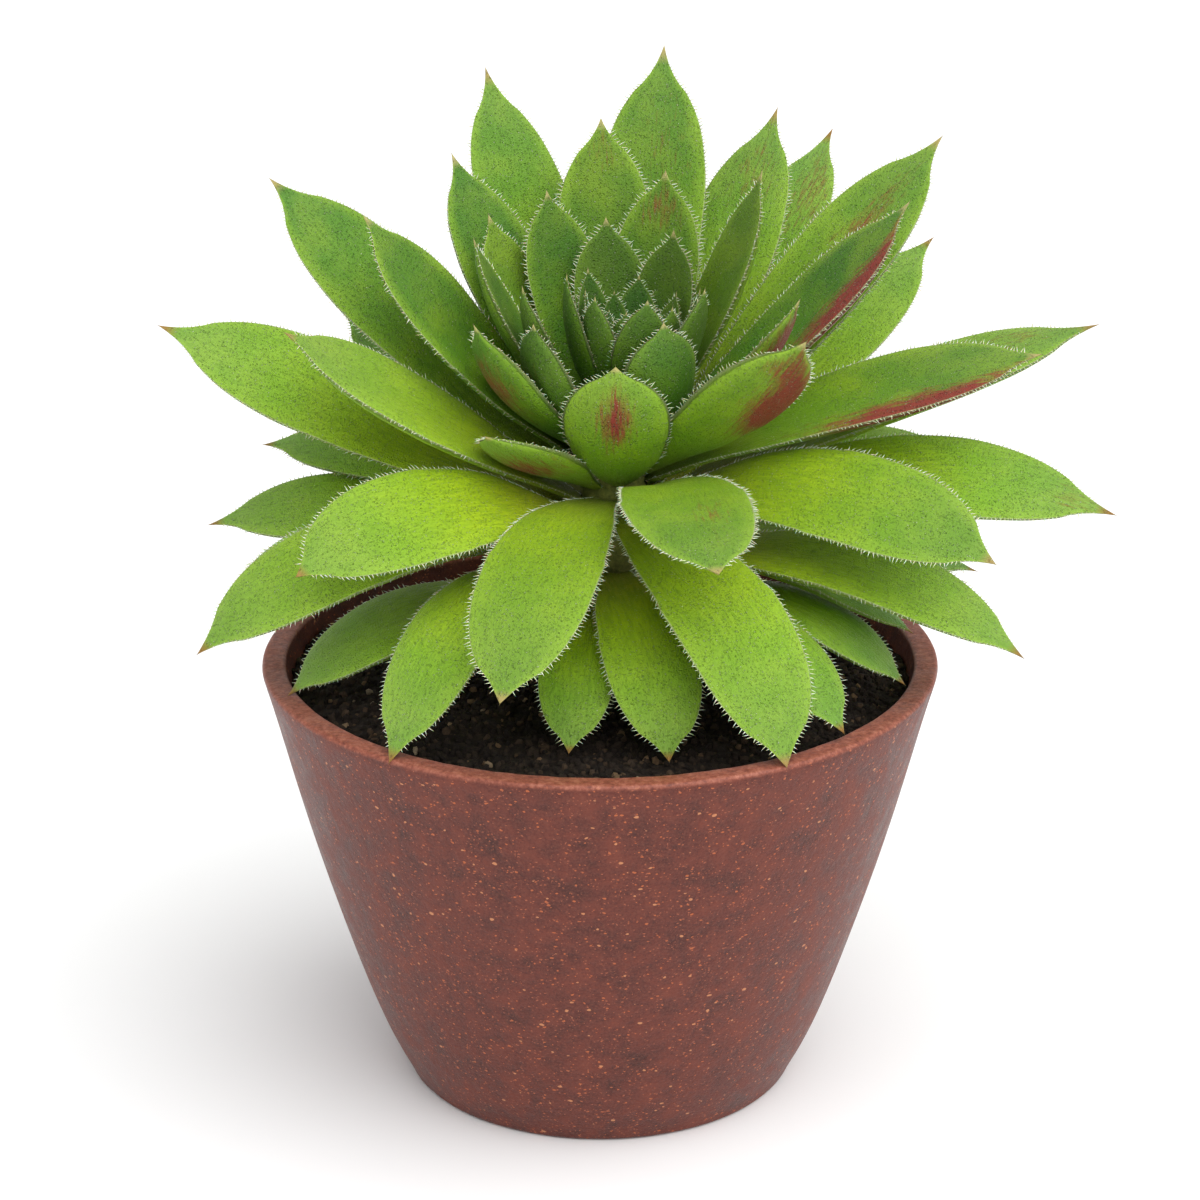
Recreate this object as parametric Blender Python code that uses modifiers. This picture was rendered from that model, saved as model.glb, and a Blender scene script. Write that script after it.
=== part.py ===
"""Potted houseleek: a rosette of fleshy leaves on a short stem, rooted in soil in a tapered round pot.

Run with: blender --background --python part.py
Metres, +Z up. The origin is the centre of the pot's underside, and -Y is the front.
"""

import math
from collections import namedtuple

import bmesh
import bpy
from mathutils import Matrix, Vector
from mathutils.bvhtree import BVHTree

MM = 0.001
GAP = 0.3 * MM  # between pieces that touch

# Pot: a moulded cup whose wall is one curve from the foot to the rim
POT_HEIGHT = 56.0 * MM
RIM_RADIUS = 42.5 * MM
FOOT_RADIUS = 25.0 * MM
BELLY_OUT = 8.0 * MM  # how far the wall's control point stands out from the foot
BELLY_UP = 16.0 * MM  # and how high it is
WALL = 2.8 * MM
FLOOR = 3.2 * MM
RIM_ROUND = 0.7 * MM
FOOT_ROUND = 0.8 * MM
WALL_STATIONS = 9
POT_STEPS = 48
DRAIN_RADIUS = 2.5 * MM
DRAIN_CIRCLE = 14.0 * MM
DRAIN_HOLES = 4
DRAIN_SIDES = 10

# Soil: fills the cup to just under the rim, a little higher round the stem
SOIL_BELOW_RIM = 3.0 * MM
SOIL_MOUND = 1.6 * MM
SOIL_STEPS = 32
SOIL_STATIONS = 6

# Stem: short and thick, leaning to the right, with its foot in the soil
STEM_X = 0.6 * MM
STEM_LEAN = math.radians(4.0)
STEM_ROOTED = 7.0 * MM
STEM_ABOVE_SOIL = 33.0 * MM
STEM_FOOT_RADIUS = 6.8 * MM
STEM_TOP_RADIUS = 1.4 * MM
STEM_SHOULDER = 6.0 * MM  # over the soil, where the stem starts to narrow
STEM_STATIONS = 6
STEM_STEPS = 16

# Heart: the closed bud of young leaves at the stem's top
HEART_HEIGHT = 17.0 * MM
HEART_RADIUS = 4.4 * MM
HEART_FOOT_RADIUS = 1.2 * MM
HEART_STEPS = 16

# Leaves: each grows a fixed turn further round the stem than the one below it
GOLDEN_TURN = 137.508  # degrees
FIRST_AZIMUTH = 291.0
LAST_ORDER = 68
LEAF_FIRST_ABOVE_SOIL = 9.0 * MM
LEAF_LAST_BELOW_TOP = 1.0 * MM
CROWDING = 0.8  # leaf bases get closer towards the stem's top; 1 would space them evenly
CROWN_X = 2.3 * MM  # the axis the leaf tips are measured from
THICKNESS_SHARE = 0.17  # a leaf's thickness over its width
THINNEST = 1.4 * MM
ROOM = 0.15 * MM  # kept clear round a leaf
LIFT_STEP = 1.0  # degrees a leaf is turned up or down at a time to clear the ones already placed
TURN_STEP = 2.0  # and degrees sideways
LIFT_STEPS = 16  # most steps up; half as many down
TURN_STEPS = 5
SLIMMING = (1.0, 0.93, 0.86, 0.72, 0.58)  # shares of its width a crowded leaf may be drawn at

# Along the leaf: place, half width, thickness, each as a share of the whole
Station = namedtuple("Station", "along width thick")
STATIONS = [
    Station(0.00, 0.30, 0.40),
    Station(0.16, 0.50, 0.55),
    Station(0.36, 0.82, 0.80),
    Station(0.58, 0.98, 1.00),
    Station(0.75, 0.97, 0.90),
    Station(0.88, 0.68, 0.62),
    Station(0.955, 0.30, 0.36),
]

# Order up the stem; the tip's azimuth in degrees from the front towards the right, its reach from the
# crown's axis and its height over the pot's underside in millimetres; width and arch in millimetres,
# where a leaf that bows outwards has a negative arch; roll in degrees, which lifts the margin on the side
# the azimuth grows towards. The heights are those over a pot of TABLE_POT_HEIGHT.
TABLE_POT_HEIGHT = 56.0 * MM
Leaf = namedtuple("Leaf", "order azimuth reach height width arch roll")
LEAVES = [
    Leaf(0, 290, 42, 57, 13.0, 5, -8),
    Leaf(1, 64, 38, 59, 11.0, 5, 0),
    Leaf(2, 205, 46, 62, 13.0, 6, 0),
    Leaf(3, 349, 31, 56, 9.5, 4, 0),
    Leaf(4, 98, 45, 65, 11.0, 4, 10),
    Leaf(5, 265, 50, 72, 13.0, 5, -20),
    Leaf(6, 46, 39, 58, 11.5, 5, 0),
    Leaf(7, 174, 48, 68, 13.0, 6, 0),
    Leaf(8, 322, 43, 57, 12.5, 8, 0),
    Leaf(9, 78, 36, 60, 10.0, 4, 0),
    Leaf(11, 10, 33, 56, 11.5, 5, 0),
    Leaf(12, 137, 60, 97, 13.0, 1, 15),
    Leaf(13, 280, 49, 67, 12.0, 5, -22),
    Leaf(14, 68, 51, 64, 12.5, 6, 12),
    Leaf(15, 190, 50, 76, 13.0, 5, 0),
    Leaf(17, 105, 44, 79, 13.0, 4, 15),
    Leaf(18, 250, 47, 77, 12.0, 4, -22),
    Leaf(20, 151, 58, 110, 13.0, 0, 0),
    Leaf(21, 290, 53, 64, 13.5, 7, -22),
    Leaf(22, 82, 59, 78, 14.0, 6, 25),
    Leaf(23, 214, 52, 88, 13.0, 3, 0),
    Leaf(26, 266, 55, 97, 14.0, 1, -35),
    Leaf(28, 183, 45, 108, 13.0, 0, 0),
    Leaf(29, 304, 45, 76, 14.0, 5, -30),
    Leaf(30, 98, 58, 96, 13.5, 2, 10),
    Leaf(31, 238, 43, 93, 12.0, 0, -10),
    Leaf(32, 28, 41, 57, 15.0, 8, 0),
    Leaf(33, 150, 40, 116, 13.5, -1, 0),
    Leaf(34, 283, 40, 100, 13.0, 0, -20),
    Leaf(35, 62, 49, 77, 14.5, 5, 28),
    Leaf(36, 208, 35, 122, 13.0, -1, 0),
    Leaf(37, 343, 46, 68, 14.5, 6, 0),
    Leaf(38, 122, 47, 115, 13.5, 0, 20),
    Leaf(39, 245, 47, 111, 13.5, 0, -28),
    Leaf(40, 15, 42, 82, 15.5, 4, 0),
    Leaf(41, 171, 38, 123, 14.0, -1, 0),
    Leaf(42, 312, 21, 89, 12.0, 0, 12),
    Leaf(43, 88, 50, 96, 13.0, 2, 18),
    Leaf(44, 228, 29, 113, 12.0, -1, -8),
    Leaf(45, 350, 13, 97, 13.5, -3, 0),
    Leaf(47, 253, 31, 110, 12.0, -1, -20),
    Leaf(48, 52, 27, 101, 12.5, -1, -30),
    Leaf(49, 193, 29, 115, 12.5, -2, 0),
    Leaf(51, 109, 37, 110, 12.0, -1, 8),
    Leaf(52, 235, 22, 107, 11.0, -2, 0),
    Leaf(54, 161, 20, 112, 11.5, -2, 0),
    Leaf(55, 295, 21, 98, 10.5, -2, 10),
    Leaf(56, 75, 22, 103, 10.0, -2, -10),
    Leaf(57, 211, 19, 110, 10.5, -2, 0),
    Leaf(59, 113, 22, 113, 10.0, -2, 0),
    Leaf(60, 266, 21, 106, 9.5, -2, 0),
    Leaf(61, 32, 10, 101, 11.0, -3, 0),
    Leaf(62, 187, 13, 108, 9.5, -2, 0),
    Leaf(63, 308, 14, 100, 10.0, -3, 0),
    Leaf(67, 138, 14, 106, 9.5, -2, 0),
    Leaf(68, 287, 12, 104, 8.5, -2, 0),
]


def clear_scene():
    for obj in list(bpy.data.objects):
        bpy.data.objects.remove(obj)


def new_collection(name):
    made = bpy.data.collections.new(name)
    bpy.context.scene.collection.children.link(made)
    return made


def finish_material(name, colour, roughness):
    material = bpy.data.materials.new(name)
    material.use_nodes = True
    shader = material.node_tree.nodes["Principled BSDF"]
    shader.inputs["Base Color"].default_value = (*colour, 1.0)
    shader.inputs["Roughness"].default_value = roughness
    shader.inputs["Metallic"].default_value = 0.0
    return material


def add_object(name, mesh, collection, material=None):
    obj = bpy.data.objects.new(name, mesh)
    collection.objects.link(obj)
    if material:
        mesh.materials.append(material)
    return obj


def turned(name, profile, steps, collection, material):
    """A solid of revolution about +Z. The profile runs from the axis over the top and down the outer side."""
    points = [(radius, 0.0, height) for radius, height in profile]
    edges = [(i, i + 1) for i in range(len(points) - 1)]
    mesh = bpy.data.meshes.new(name)
    mesh.from_pydata(points, edges, [])
    obj = add_object(name, mesh, collection, material)
    screw = obj.modifiers.new("turn", "SCREW")
    screw.axis = "Z"
    screw.steps = screw.render_steps = steps
    screw.use_merge_vertices = True
    screw.merge_threshold = 0.00002
    screw.use_smooth_shade = True
    return obj


# The pot


def wall_curve(share):
    """The outer wall's point and outward normal at a share of the way from the foot to the rim."""
    foot = Vector((FOOT_RADIUS, 0.0))
    belly = Vector((FOOT_RADIUS + BELLY_OUT, BELLY_UP))
    rim = Vector((RIM_RADIUS, POT_HEIGHT))
    point = foot * (1 - share) ** 2 + belly * 2 * share * (1 - share) + rim * share**2
    along = (belly - foot) * (1 - share) + (rim - belly) * share
    normal = Vector((along.y, -along.x)).normalized()
    return point, normal


def inner_radius_at(height):
    """The cup's inside radius at a height over the underside."""
    low, high = 0.0, 1.0
    for _ in range(40):
        share = (low + high) / 2
        point, normal = wall_curve(share)
        if (point - normal * WALL).y < height:
            low = share
        else:
            high = share
    point, normal = wall_curve(low)
    return (point - normal * WALL).x


def pot_profile():
    inner_rim = inner_radius_at(POT_HEIGHT - RIM_ROUND)
    rim_inside = inner_rim + RIM_ROUND
    profile = [(0.0, FLOOR), (inner_radius_at(FLOOR), FLOOR)]
    for k in range(1, WALL_STATIONS):
        height = FLOOR + (POT_HEIGHT - RIM_ROUND - FLOOR) * k / WALL_STATIONS
        profile.append((inner_radius_at(height), height))
    profile.append((inner_rim, POT_HEIGHT - RIM_ROUND))
    profile.append((rim_inside, POT_HEIGHT))
    profile.append((RIM_RADIUS - RIM_ROUND, POT_HEIGHT))
    for k in range(WALL_STATIONS, -1, -1):
        point, _ = wall_curve(k / WALL_STATIONS)
        height = min(max(point.y, FOOT_ROUND), POT_HEIGHT - RIM_ROUND)
        profile.append((point.x, height))
    profile.append((FOOT_RADIUS - FOOT_ROUND, 0.0))
    profile.append((0.0, 0.0))
    return profile


def make_pot(parts, cutters, material):
    pot = turned("pot", pot_profile(), POT_STEPS, parts, material)
    for k in range(DRAIN_HOLES):
        turn = 2 * math.pi * (k + 0.5) / DRAIN_HOLES
        place = Vector((math.cos(turn), math.sin(turn), 0.0)) * DRAIN_CIRCLE
        shape = bmesh.new()
        bmesh.ops.create_cone(
            shape,
            cap_ends=True,
            segments=DRAIN_SIDES,
            radius1=DRAIN_RADIUS,
            radius2=DRAIN_RADIUS,
            depth=4 * FLOOR,
            matrix=Matrix.Translation(place),
        )
        mesh = bpy.data.meshes.new(f"drain_cutter_{k + 1}")
        shape.to_mesh(mesh)
        shape.free()
        cutter = add_object(mesh.name, mesh, cutters)
        cutter.hide_render = True
        cutter.display_type = "WIRE"
        cut = pot.modifiers.new("drain", "BOOLEAN")
        cut.operation = "DIFFERENCE"
        cut.object = cutter
    return pot


# The soil


def soil_top():
    return POT_HEIGHT - SOIL_BELOW_RIM


def soil_height_at(radius):
    """The soil's surface over the underside, mounded round the stem."""
    share = min(radius / inner_radius_at(soil_top()), 1.0)
    return soil_top() + SOIL_MOUND * (1 - share**2)


def soil_profile():
    edge = inner_radius_at(soil_top()) - GAP
    profile = [(0.0, soil_height_at(0.0))]
    for k in range(1, SOIL_STATIONS + 1):
        radius = edge * k / SOIL_STATIONS
        profile.append((radius, soil_height_at(radius)))
    bottom = FLOOR + GAP
    for k in range(SOIL_STATIONS, -1, -1):
        height = bottom + (soil_top() - GAP - bottom) * k / SOIL_STATIONS
        profile.append((inner_radius_at(height) - GAP, height))
    profile.append((0.0, bottom))
    return profile


def make_soil(parts, cutters, material):
    soil = turned("soil", soil_profile(), SOIL_STEPS, parts, material)
    shape = bmesh.new()
    depth = 2 * STEM_ROOTED
    bmesh.ops.create_cone(
        shape,
        cap_ends=True,
        segments=STEM_STEPS,
        radius1=STEM_FOOT_RADIUS + 2 * GAP,
        radius2=STEM_FOOT_RADIUS + 2 * GAP,
        depth=depth,
        matrix=Matrix.Translation((0, 0, depth / 2 - STEM_ROOTED - GAP)),
    )
    mesh = bpy.data.meshes.new("stem_cutter")
    shape.to_mesh(mesh)
    shape.free()
    cutter = add_object(mesh.name, mesh, cutters)
    cutter.matrix_world = stem_frame()
    cutter.hide_render = True
    cutter.display_type = "WIRE"
    cut = soil.modifiers.new("stem_hole", "BOOLEAN")
    cut.operation = "DIFFERENCE"
    cut.object = cutter
    return soil


# The stem and the heart


def stem_frame():
    """From stem space, whose origin is on the soil, to the part's frame."""
    base = Matrix.Translation((STEM_X, 0.0, soil_height_at(0.0)))
    return base @ Matrix.Rotation(STEM_LEAN, 4, "Y")


def stem_radius_at(height):
    """The stem narrows to its top like a blunt cone."""
    share = min(max((height - STEM_SHOULDER) / (STEM_ABOVE_SOIL - STEM_SHOULDER), 0.0), 1.0)
    return STEM_FOOT_RADIUS + (STEM_TOP_RADIUS - STEM_FOOT_RADIUS) * share**1.3


def make_stem(parts, material):
    top = STEM_ABOVE_SOIL
    profile = [(0.0, top)]
    for k in range(STEM_STATIONS, -1, -1):
        height = STEM_SHOULDER + (top - STEM_SHOULDER) * k / STEM_STATIONS
        profile.append((stem_radius_at(height), height))
    profile.append((STEM_FOOT_RADIUS * 0.8, -STEM_ROOTED))
    profile.append((0.0, -STEM_ROOTED))
    stem = turned("stem", profile, STEM_STEPS, parts, material)
    stem.matrix_world = stem_frame()
    return stem


def make_heart(parts, material):
    foot = STEM_ABOVE_SOIL + GAP
    bulge = [(1.0, 0.0), (0.86, 0.30), (0.60, 0.72), (0.34, 0.97), (0.14, 0.80), (0.0, 0.0)]
    profile = []
    for up, out in bulge:
        radius = HEART_RADIUS * out
        if up == 0.0:
            radius = HEART_FOOT_RADIUS
        profile.append((radius, foot + HEART_HEIGHT * up))
    profile.append((0.0, foot))
    heart = turned("heart", profile, HEART_STEPS, parts, material)
    heart.matrix_world = stem_frame()
    return heart


# The leaves


def base_azimuth(leaf):
    return FIRST_AZIMUTH + GOLDEN_TURN * leaf.order


def base_up(leaf):
    """How far up the stem the leaf grows."""
    last = STEM_ABOVE_SOIL - LEAF_LAST_BELOW_TOP
    return LEAF_FIRST_ABOVE_SOIL + (last - LEAF_FIRST_ABOVE_SOIL) * (leaf.order / LAST_ORDER) ** CROWDING


def radial(azimuth):
    turn = math.radians(azimuth)
    return Vector((math.sin(turn), -math.cos(turn), 0.0))


def midrib(leaf, lift):
    """Base, bend and tip as (out, up) in the upright plane the leaf grows in, the tip turned up by lift degrees."""
    height = base_up(leaf)
    base = Vector((stem_radius_at(height) + GAP, (stem_frame() @ Vector((0, 0, height))).z))
    tip = Vector((leaf.reach, leaf.height)) * MM + Vector((0.0, POT_HEIGHT - TABLE_POT_HEIGHT))
    turn = math.radians(lift)
    chord = tip - base
    chord = Vector(
        (
            chord.x * math.cos(turn) - chord.y * math.sin(turn),
            chord.x * math.sin(turn) + chord.y * math.cos(turn),
        )
    )
    over = Vector((-chord.y, chord.x)).normalized()
    bend = base + chord / 2 + over * 2 * leaf.arch * MM
    return base, bend, base + chord


def leaf_rings(leaf, lift=0.0, room=0.0):
    """The leaf's rings of eight points from the stem outwards, and its tip."""
    base, bend, tip = midrib(leaf, lift)
    foot = stem_frame() @ Vector((0, 0, base_up(leaf)))
    crown = Vector((CROWN_X, 0.0))
    start = base_azimuth(leaf)
    swing = (leaf.azimuth - start + 180.0) % 360.0 - 180.0
    half_width = leaf.width * MM / 2
    thick = max(leaf.width * MM * THICKNESS_SHARE, THINNEST)
    rings = []
    for station in STATIONS:
        s = station.along
        middle = base * (1 - s) ** 2 + bend * 2 * s * (1 - s) + tip * s**2
        ahead = ((bend - base) * (1 - s) + (tip - bend) * s).normalized()
        azimuth = start + swing * (1 - (1 - s) ** 2)
        centre = foot.xy.lerp(crown, s).to_3d() + Vector((0, 0, middle.y))
        roll = math.radians(leaf.roll) * min(1.0, s / 0.4)
        ring = []
        for side, top in ((-1, 1), (-0.5, 1), (0, 1), (0.5, 1), (1, 1), (0.5, 0), (0, 0), (-0.5, 0)):
            flat = side * (half_width * station.width + room)
            deep = room if top else -thick * station.thick * (1 - side**2) ** 0.7 - room
            across = flat * math.cos(roll) - deep * math.sin(roll)
            above = flat * math.sin(roll) + deep * math.cos(roll)
            out = radial(azimuth + math.degrees(across / max(middle.x, half_width * 0.8)))
            over = Vector((-out.x * ahead.y, -out.y * ahead.y, ahead.x))
            ring.append(centre + out * middle.x + over * above)
        rings.append(ring)
    last = radial(start + swing)
    return rings, crown.to_3d() + last * tip.x + Vector((0, 0, tip.y))


def leaf_faces(count):
    """Faces of a loft through count rings of eight, closed by the first ring's cap and a tip."""
    around = 8
    faces = [tuple(range(around))]
    for ring in range(count - 1):
        for k in range(around):
            a, b = ring * around + k, ring * around + (k + 1) % around
            faces.append((b, a, a + around, b + around))
    last, tip = (count - 1) * around, count * around
    faces += [(last + (k + 1) % around, last + k, tip) for k in range(around)]
    return faces


def leaf_body(rings, tip):
    shape = bmesh.new()
    points = [shape.verts.new(p) for ring in rings for p in ring]
    points.append(shape.verts.new(tip))
    for face in leaf_faces(len(rings)):
        shape.faces.new([points[k] for k in face])
    bmesh.ops.recalc_face_normals(shape, faces=shape.faces)
    bmesh.ops.triangulate(shape, faces=shape.faces)
    return shape


def settling_moves():
    """Small changes to a leaf, the least first: degrees up and sideways, share of its roll and of its width."""
    moves = []
    for lift in range(-LIFT_STEPS // 2, LIFT_STEPS + 1):
        for turn in range(-TURN_STEPS, TURN_STEPS + 1):
            for level in (1.0, 0.6, 0.2):
                for slim in SLIMMING:
                    cost = abs(lift) + abs(turn) + 6 * (1.0 - level) + 50 * (1.0 - slim)
                    moves.append((cost, lift * LIFT_STEP, turn * TURN_STEP, level, slim))
    return [move[1:] for move in sorted(moves)]


def tree_of(obj):
    graph = bpy.context.evaluated_depsgraph_get()
    shape = bmesh.new()
    shape.from_mesh(obj.evaluated_get(graph).to_mesh())
    shape.transform(obj.matrix_world)
    tree = BVHTree.FromBMesh(shape)
    shape.free()
    return tree


def settled(leaf, moves, placed):
    """The leaf's body after the least of the moves that keeps it clear of every tree in placed."""
    for lift, turn, level, slim in moves:
        posed = leaf._replace(azimuth=leaf.azimuth + turn, roll=leaf.roll * level, width=leaf.width * slim)
        test = leaf_body(*leaf_rings(posed, lift, ROOM))
        tree = BVHTree.FromBMesh(test)
        test.free()
        if not any(tree.overlap(other) for other in placed):
            return leaf_body(*leaf_rings(posed, lift))
    raise ValueError(f"no room for the leaf of order {leaf.order}")


def make_leaves(parts, material, others):
    """Places the leaves from the lowest up, each moved just enough to clear those already placed."""
    placed = [tree_of(obj) for obj in others]
    moves = settling_moves()
    for number, leaf in enumerate(LEAVES, start=1):
        shape = settled(leaf, moves, placed)
        mesh = bpy.data.meshes.new(f"leaf_{number:02d}")
        shape.to_mesh(mesh)
        placed.append(BVHTree.FromBMesh(shape))
        shape.free()
        mesh.shade_smooth()
        add_object(mesh.name, mesh, parts, material)


def main():
    clear_scene()
    parts = new_collection("potted_houseleek")
    cutters = new_collection("cutters")
    clay = finish_material("pot", (0.16, 0.05, 0.04), 0.55)
    earth = finish_material("soil", (0.02, 0.014, 0.01), 0.95)
    bark = finish_material("stem", (0.16, 0.12, 0.06), 0.8)
    green = finish_material("leaf", (0.14, 0.30, 0.04), 0.45)
    young = finish_material("heart", (0.08, 0.24, 0.03), 0.45)
    pot = make_pot(parts, cutters, clay)
    soil = make_soil(parts, cutters, earth)
    stem = make_stem(parts, bark)
    heart = make_heart(parts, young)
    bpy.context.view_layer.update()
    make_leaves(parts, green, [pot, soil, stem, heart])


main()
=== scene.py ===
"""Looks of a potted houseleek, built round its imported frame. Blender 4.5, metres, +Z up, front towards -Y."""

import math

import bmesh
import bpy
import numpy as np
from mathutils import Matrix, Vector, noise


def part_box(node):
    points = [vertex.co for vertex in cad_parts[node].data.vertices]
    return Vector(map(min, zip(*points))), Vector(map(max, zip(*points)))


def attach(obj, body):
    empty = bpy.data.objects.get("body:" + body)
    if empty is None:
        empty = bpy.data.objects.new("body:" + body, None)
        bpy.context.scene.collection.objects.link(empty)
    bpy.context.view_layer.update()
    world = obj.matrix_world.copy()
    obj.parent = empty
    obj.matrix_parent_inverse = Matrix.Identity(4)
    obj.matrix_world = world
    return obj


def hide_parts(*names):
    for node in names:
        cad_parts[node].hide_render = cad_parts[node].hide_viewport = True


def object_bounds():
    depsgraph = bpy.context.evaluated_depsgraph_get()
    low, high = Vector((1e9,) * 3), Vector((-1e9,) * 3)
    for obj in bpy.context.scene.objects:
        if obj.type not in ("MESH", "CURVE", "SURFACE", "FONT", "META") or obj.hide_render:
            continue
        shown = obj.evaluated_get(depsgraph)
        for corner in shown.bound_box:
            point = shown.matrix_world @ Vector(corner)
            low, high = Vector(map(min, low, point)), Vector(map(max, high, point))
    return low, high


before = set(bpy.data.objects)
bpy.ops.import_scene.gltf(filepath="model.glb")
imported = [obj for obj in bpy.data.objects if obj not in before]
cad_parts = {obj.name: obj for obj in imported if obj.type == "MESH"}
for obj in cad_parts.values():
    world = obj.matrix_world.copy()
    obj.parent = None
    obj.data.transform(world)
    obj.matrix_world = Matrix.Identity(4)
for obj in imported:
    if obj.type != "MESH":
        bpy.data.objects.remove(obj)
cad_low, cad_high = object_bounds()
MM = 0.001

# Pot
# A small tapered pot pressed from brown plastic and wood fibre, so its skin is mottled and full of tan
# flecks. It comes out of the mould in one piece, with drain holes in the floor and a flat, slightly raw rim.


def srgb(red, green, blue):
    """A colour given in screen values, 0 to 255, as the linear colour a shader wants."""
    parts = [c / 255 for c in (red, green, blue)]
    return tuple(c / 12.92 if c <= 0.04045 else ((c + 0.055) / 1.055) ** 2.4 for c in parts) + (1.0,)


def add(tree, kind, inputs=None, **settings):
    """A node with its settings and inputs. An input is a value or another node's output."""
    made = tree.nodes.new(kind)
    for key, value in settings.items():
        setattr(made, key, value)
    for key, value in (inputs or {}).items():
        if isinstance(value, bpy.types.NodeSocket):
            tree.links.new(value, made.inputs[key])
        else:
            made.inputs[key].default_value = value
    return made


def new_material(name):
    made = bpy.data.materials.new(name)
    made.use_nodes = True
    return made, made.node_tree, made.node_tree.nodes["Principled BSDF"]


def vector_maths(tree, operation, vector, by):
    """by is the other vector, or the number to scale by."""
    inputs = {0: vector, "Scale" if operation == "SCALE" else 1: by}
    return add(tree, "ShaderNodeVectorMath", inputs, operation=operation).outputs[0]


def millimetres(tree):
    """Object coordinates in millimetres, so that a texture's scale is in features per millimetre."""
    coordinates = add(tree, "ShaderNodeTexCoord")
    return vector_maths(tree, "MULTIPLY", coordinates.outputs["Object"], (1000, 1000, 1000))


def ramp(tree, factor, *stops):
    """A colour ramp through (place, colour) stops."""
    made = add(tree, "ShaderNodeValToRGB", {0: factor})
    band = made.color_ramp
    while len(band.elements) < len(stops):
        band.elements.new(0.5)
    for element, (place, colour) in zip(band.elements, stops):
        element.position = place
        element.color = colour
    return made.outputs[0]


def mix(tree, factor, first, second, how="MIX"):
    made = add(tree, "ShaderNodeMix", data_type="RGBA", blend_type=how)
    for socket, value in ((made.inputs[0], factor), (made.inputs[6], first), (made.inputs[7], second)):
        if isinstance(value, bpy.types.NodeSocket):
            tree.links.new(value, socket)
        else:
            socket.default_value = value
    return made.outputs[2]


def noise_of(tree, vector, scale, detail=4.0, roughness=0.55):
    inputs = {"Vector": vector, "Scale": scale, "Detail": detail, "Roughness": roughness}
    return add(tree, "ShaderNodeTexNoise", inputs).outputs[0]


def between(tree, value, low, high, to_low=0.0, to_high=1.0, smooth=True):
    """value moved from low..high to to_low..to_high and kept inside it."""
    inputs = {0: value, 1: low, 2: high, 3: to_low, 4: to_high}
    kind = "SMOOTHSTEP" if smooth else "LINEAR"
    return add(tree, "ShaderNodeMapRange", inputs, interpolation_type=kind).outputs[0]


def maths(tree, operation, *values):
    return add(tree, "ShaderNodeMath", dict(enumerate(values)), operation=operation).outputs[0]


def bump(tree, shader, *layers):
    """Bump in millimetres: each layer is (height, how many millimetres one unit of it stands)."""
    normal = None
    for height, tall in layers:
        inputs = {"Height": height, "Distance": tall * MM, "Strength": 1.0}
        if normal:
            inputs["Normal"] = normal
        normal = add(tree, "ShaderNodeBump", inputs).outputs[0]
    tree.links.new(normal, shader.inputs["Normal"])


def new_piece(name, points, faces, material):
    mesh = bpy.data.meshes.new(name)
    mesh.from_pydata([tuple(p) for p in points], [], faces)
    mesh.materials.append(material)
    mesh.shade_smooth()
    obj = bpy.data.objects.new(name, mesh)
    bpy.context.scene.collection.objects.link(obj)
    return obj


def stands_for(obj, node):
    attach(obj, "root")
    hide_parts(node)


def turned_faces(rings, around):
    """Faces of a lathe shape: a first point, rings with this many points around, and a last point."""
    faces = []
    for k in range(around):
        faces.append((0, 1 + k, 1 + (k + 1) % around))
    for ring in range(rings - 1):
        for k in range(around):
            a, b = 1 + ring * around + k, 1 + ring * around + (k + 1) % around
            faces.append((a, a + around, b + around, b))
    last, end = 1 + (rings - 1) * around, 1 + rings * around
    for k in range(around):
        faces.append((last + (k + 1) % around, last + k, end))
    return faces


def apply_modifiers(obj):
    """Turns the object's modifiers into plain mesh."""
    graph = bpy.context.evaluated_depsgraph_get()
    finished = obj.evaluated_get(graph)
    mesh = bpy.data.meshes.new_from_object(finished, preserve_all_data_layers=True, depsgraph=graph)
    obj.modifiers.clear()
    obj.data = mesh


POT_AROUND = 160
POT_UP = 40
RIM_ROUND = 0.55 * MM
FOOT_ROUND = 1.0 * MM
WALL_WOBBLE = 0.07 * MM
RIM_RAWNESS = 0.09 * MM
RAW_FROM = 0.75  # millimetres below the rim
RAW_FULL = 0.15
DRAIN_RADIUS = 2.5 * MM
DRAIN_CIRCLE = 14.0 * MM
DRAIN_DEPTH = 12.0 * MM
DRAIN_HOLES = 4
FLOOR_REACH = 20.0 * MM  # faces nearer the middle than this are floor
WALL_LEAN = 0.8  # faces that point less outwards or inwards than this are floor or rim
WALL_CURVE = 5

rim_radius, _, pot_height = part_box("pot")[1]

# The walls' curves, read from the frame's pot: radius over height, outside and inside
outside, inside = {}, {}
pot_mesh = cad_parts["pot"].data
for face in pot_mesh.polygons:
    centre = Vector(face.center)
    lean = (centre.x * face.normal.x + centre.y * face.normal.y) / max(centre.xy.length, MM)
    if centre.xy.length < FLOOR_REACH or abs(lean) < WALL_LEAN:
        continue
    for index in face.vertices:
        point = pot_mesh.vertices[index].co
        (outside if lean > 0 else inside)[round(point.z, 5)] = point.xy.length
outside_fit = np.polyfit(list(outside), list(outside.values()), WALL_CURVE)
inside_fit = np.polyfit(list(inside), list(inside.values()), WALL_CURVE)
floor_top = min(inside)


def arc(centre_radius, centre_height, size, start, end, steps):
    """Points (radius, height) on a rounded edge, angles in degrees from outwards to up."""
    turns = [math.radians(start + (end - start) * k / (steps - 1)) for k in range(steps)]
    return [(centre_radius + size * math.cos(t), centre_height + size * math.sin(t)) for t in turns]


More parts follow.
